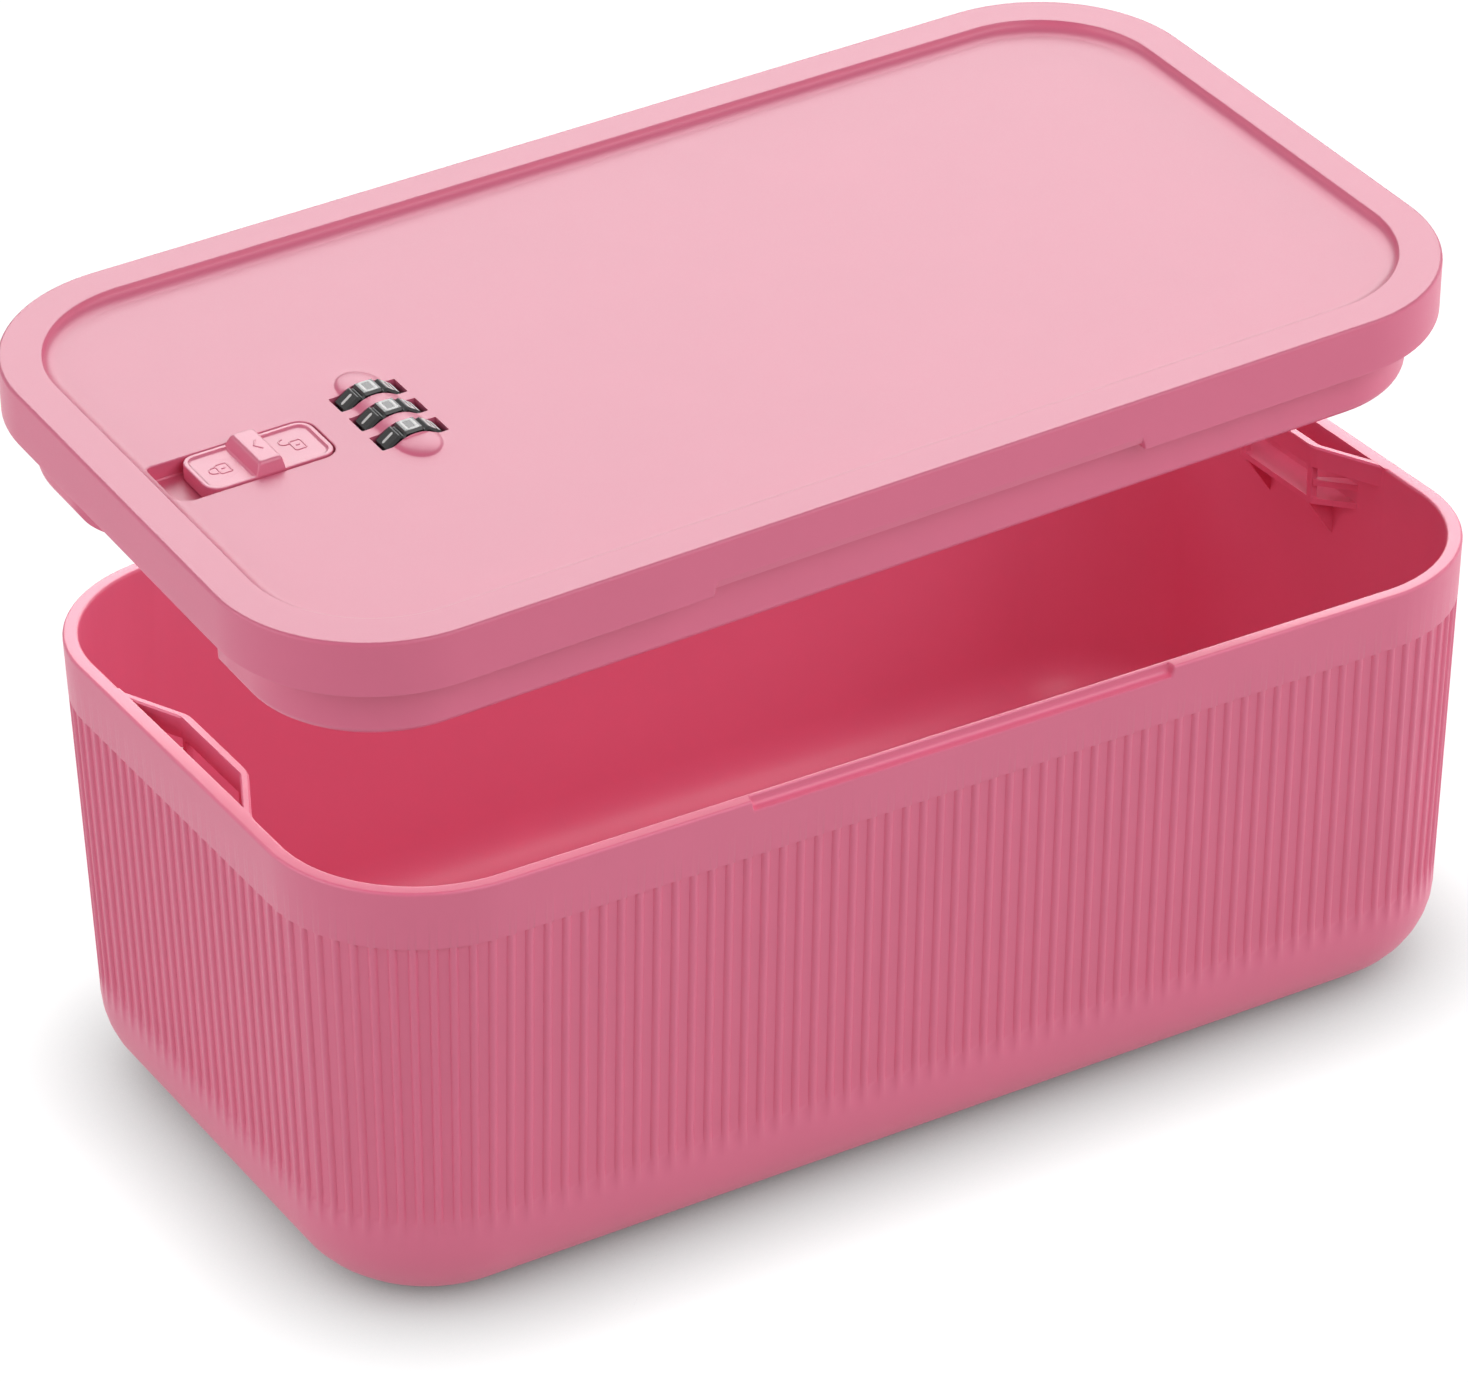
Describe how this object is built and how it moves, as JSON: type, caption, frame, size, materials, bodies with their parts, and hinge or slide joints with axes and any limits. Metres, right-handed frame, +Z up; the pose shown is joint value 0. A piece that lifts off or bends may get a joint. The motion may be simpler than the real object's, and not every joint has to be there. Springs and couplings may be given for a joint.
{
  "type": "medication lock box",
  "caption": "Ribbed plastic medication box with a lift-off lid, a thumb slide latch that drives a bolt at each end, and a number wheel lock",
  "frame": {"origin": "centre of the tub's flat base, on the ground", "axes": "+Z up, +X along the tub's length away from the end where the latch slides, -Y towards the long wall with the grip notch"},
  "size_m": [0.2604, 0.1415, 0.1633],
  "materials": {
    "tub_plastic": "satin pink, vertical ribs on the outer walls",
    "lid_plastic": "satin pink",
    "liner_plastic": "satin pink",
    "latch_plastic": "satin pink",
    "wheel_plastic": "satin black with white numbers",
    "inner_plastic": "natural grey acetal",
    "plate_steel": "stamped, zinc plated",
    "screw_steel": "zinc plated",
    "spring_steel": "bare spring steel"
  },
  "bodies": {
    "tub": {"tub": "tub_plastic"},
    "lid": {"lid_shell": "lid_plastic", "lid_liner": "liner_plastic", "liner_screw_1": "screw_steel", "liner_screw_2": "screw_steel", "liner_screw_3": "screw_steel", "liner_screw_4": "screw_steel", "liner_screw_5": "screw_steel", "liner_screw_6": "screw_steel", "liner_screw_7": "screw_steel", "liner_screw_8": "screw_steel", "pinion_screw": "screw_steel", "bolt_guide_left": "inner_plastic", "bolt_guide_right": "inner_plastic", "guide_screw_1": "screw_steel", "guide_screw_2": "screw_steel", "guide_screw_3": "screw_steel", "guide_screw_4": "screw_steel", "dial_housing": "inner_plastic", "housing_screw_1": "screw_steel", "housing_screw_2": "screw_steel", "housing_screw_3": "screw_steel", "housing_screw_4": "screw_steel", "axle_spring": "spring_steel", "detent_spring": "spring_steel"},
    "latch": {"latch_slider": "latch_plastic", "latch_carriage": "inner_plastic", "latch_screw_1": "screw_steel", "latch_screw_2": "screw_steel", "gate_fence": "plate_steel", "latch_bolt": "plate_steel"},
    "pinion": {"reversing_pinion": "inner_plastic"},
    "tail": {"tail_bolt": "plate_steel"},
    "dial_1": {"dial_wheel_1": "wheel_plastic", "dial_hub_1": "inner_plastic"},
    "dial_2": {"dial_wheel_2": "wheel_plastic", "dial_hub_2": "inner_plastic"},
    "dial_3": {"dial_wheel_3": "wheel_plastic", "dial_hub_3": "inner_plastic"},
    "reset": {"dial_axle": "plate_steel", "reset_lever": "inner_plastic"}
  },
  "joints": [
    {"name": "lid_lift", "type": "hinge", "parent": "tub", "child": "lid", "pos_m": [-0.243, -0.6136, 0.0427], "axis": [0.9144, -0.3747, 0.153], "range_deg": [-4.51, 0]},
    {"name": "latch_slide", "type": "slide", "parent": "lid", "child": "latch", "axis": [-0.9995, -0.011, -0.0299], "range_m": [0, 0.0058]},
    {"name": "tail_slide", "type": "slide", "parent": "lid", "child": "tail", "axis": [0.9995, 0.011, 0.0299], "range_m": [0, 0.0058]},
    {"name": "pinion_turn", "type": "hinge", "parent": "lid", "child": "pinion", "pos_m": [-0.04338, -0.00241, 0.13539], "axis": [-0.0291, -0.0722, 0.997], "range_deg": [0, 55.4]},
    {"name": "dial_1_turn", "type": "hinge", "parent": "lid", "child": "dial_1", "pos_m": [-0.0803, 0.00383, 0.1465], "axis": [-0.0131, 0.9973, 0.0718], "continuous": true},
    {"name": "dial_2_turn", "type": "hinge", "parent": "lid", "child": "dial_2", "pos_m": [-0.0802, -0.00365, 0.14596], "axis": [-0.0131, 0.9973, 0.0718], "continuous": true},
    {"name": "dial_3_turn", "type": "hinge", "parent": "lid", "child": "dial_3", "pos_m": [-0.08011, -0.01113, 0.14542], "axis": [-0.0131, 0.9973, 0.0718], "continuous": true},
    {"name": "reset_slide", "type": "slide", "parent": "lid", "child": "reset", "axis": [0.0131, -0.9973, -0.0718], "range_m": [0, 0.002], "stiffness_N_per_m": 400, "springref_m": -0.002, "deforming": ["axle_spring"]}
  ],
  "couplings": [
    {"joint": "tail_slide", "follows": "latch_slide", "ratio": 1},
    {"joint": "pinion_turn", "follows": "latch_slide", "rad_per_m": 166.67}
  ]
}
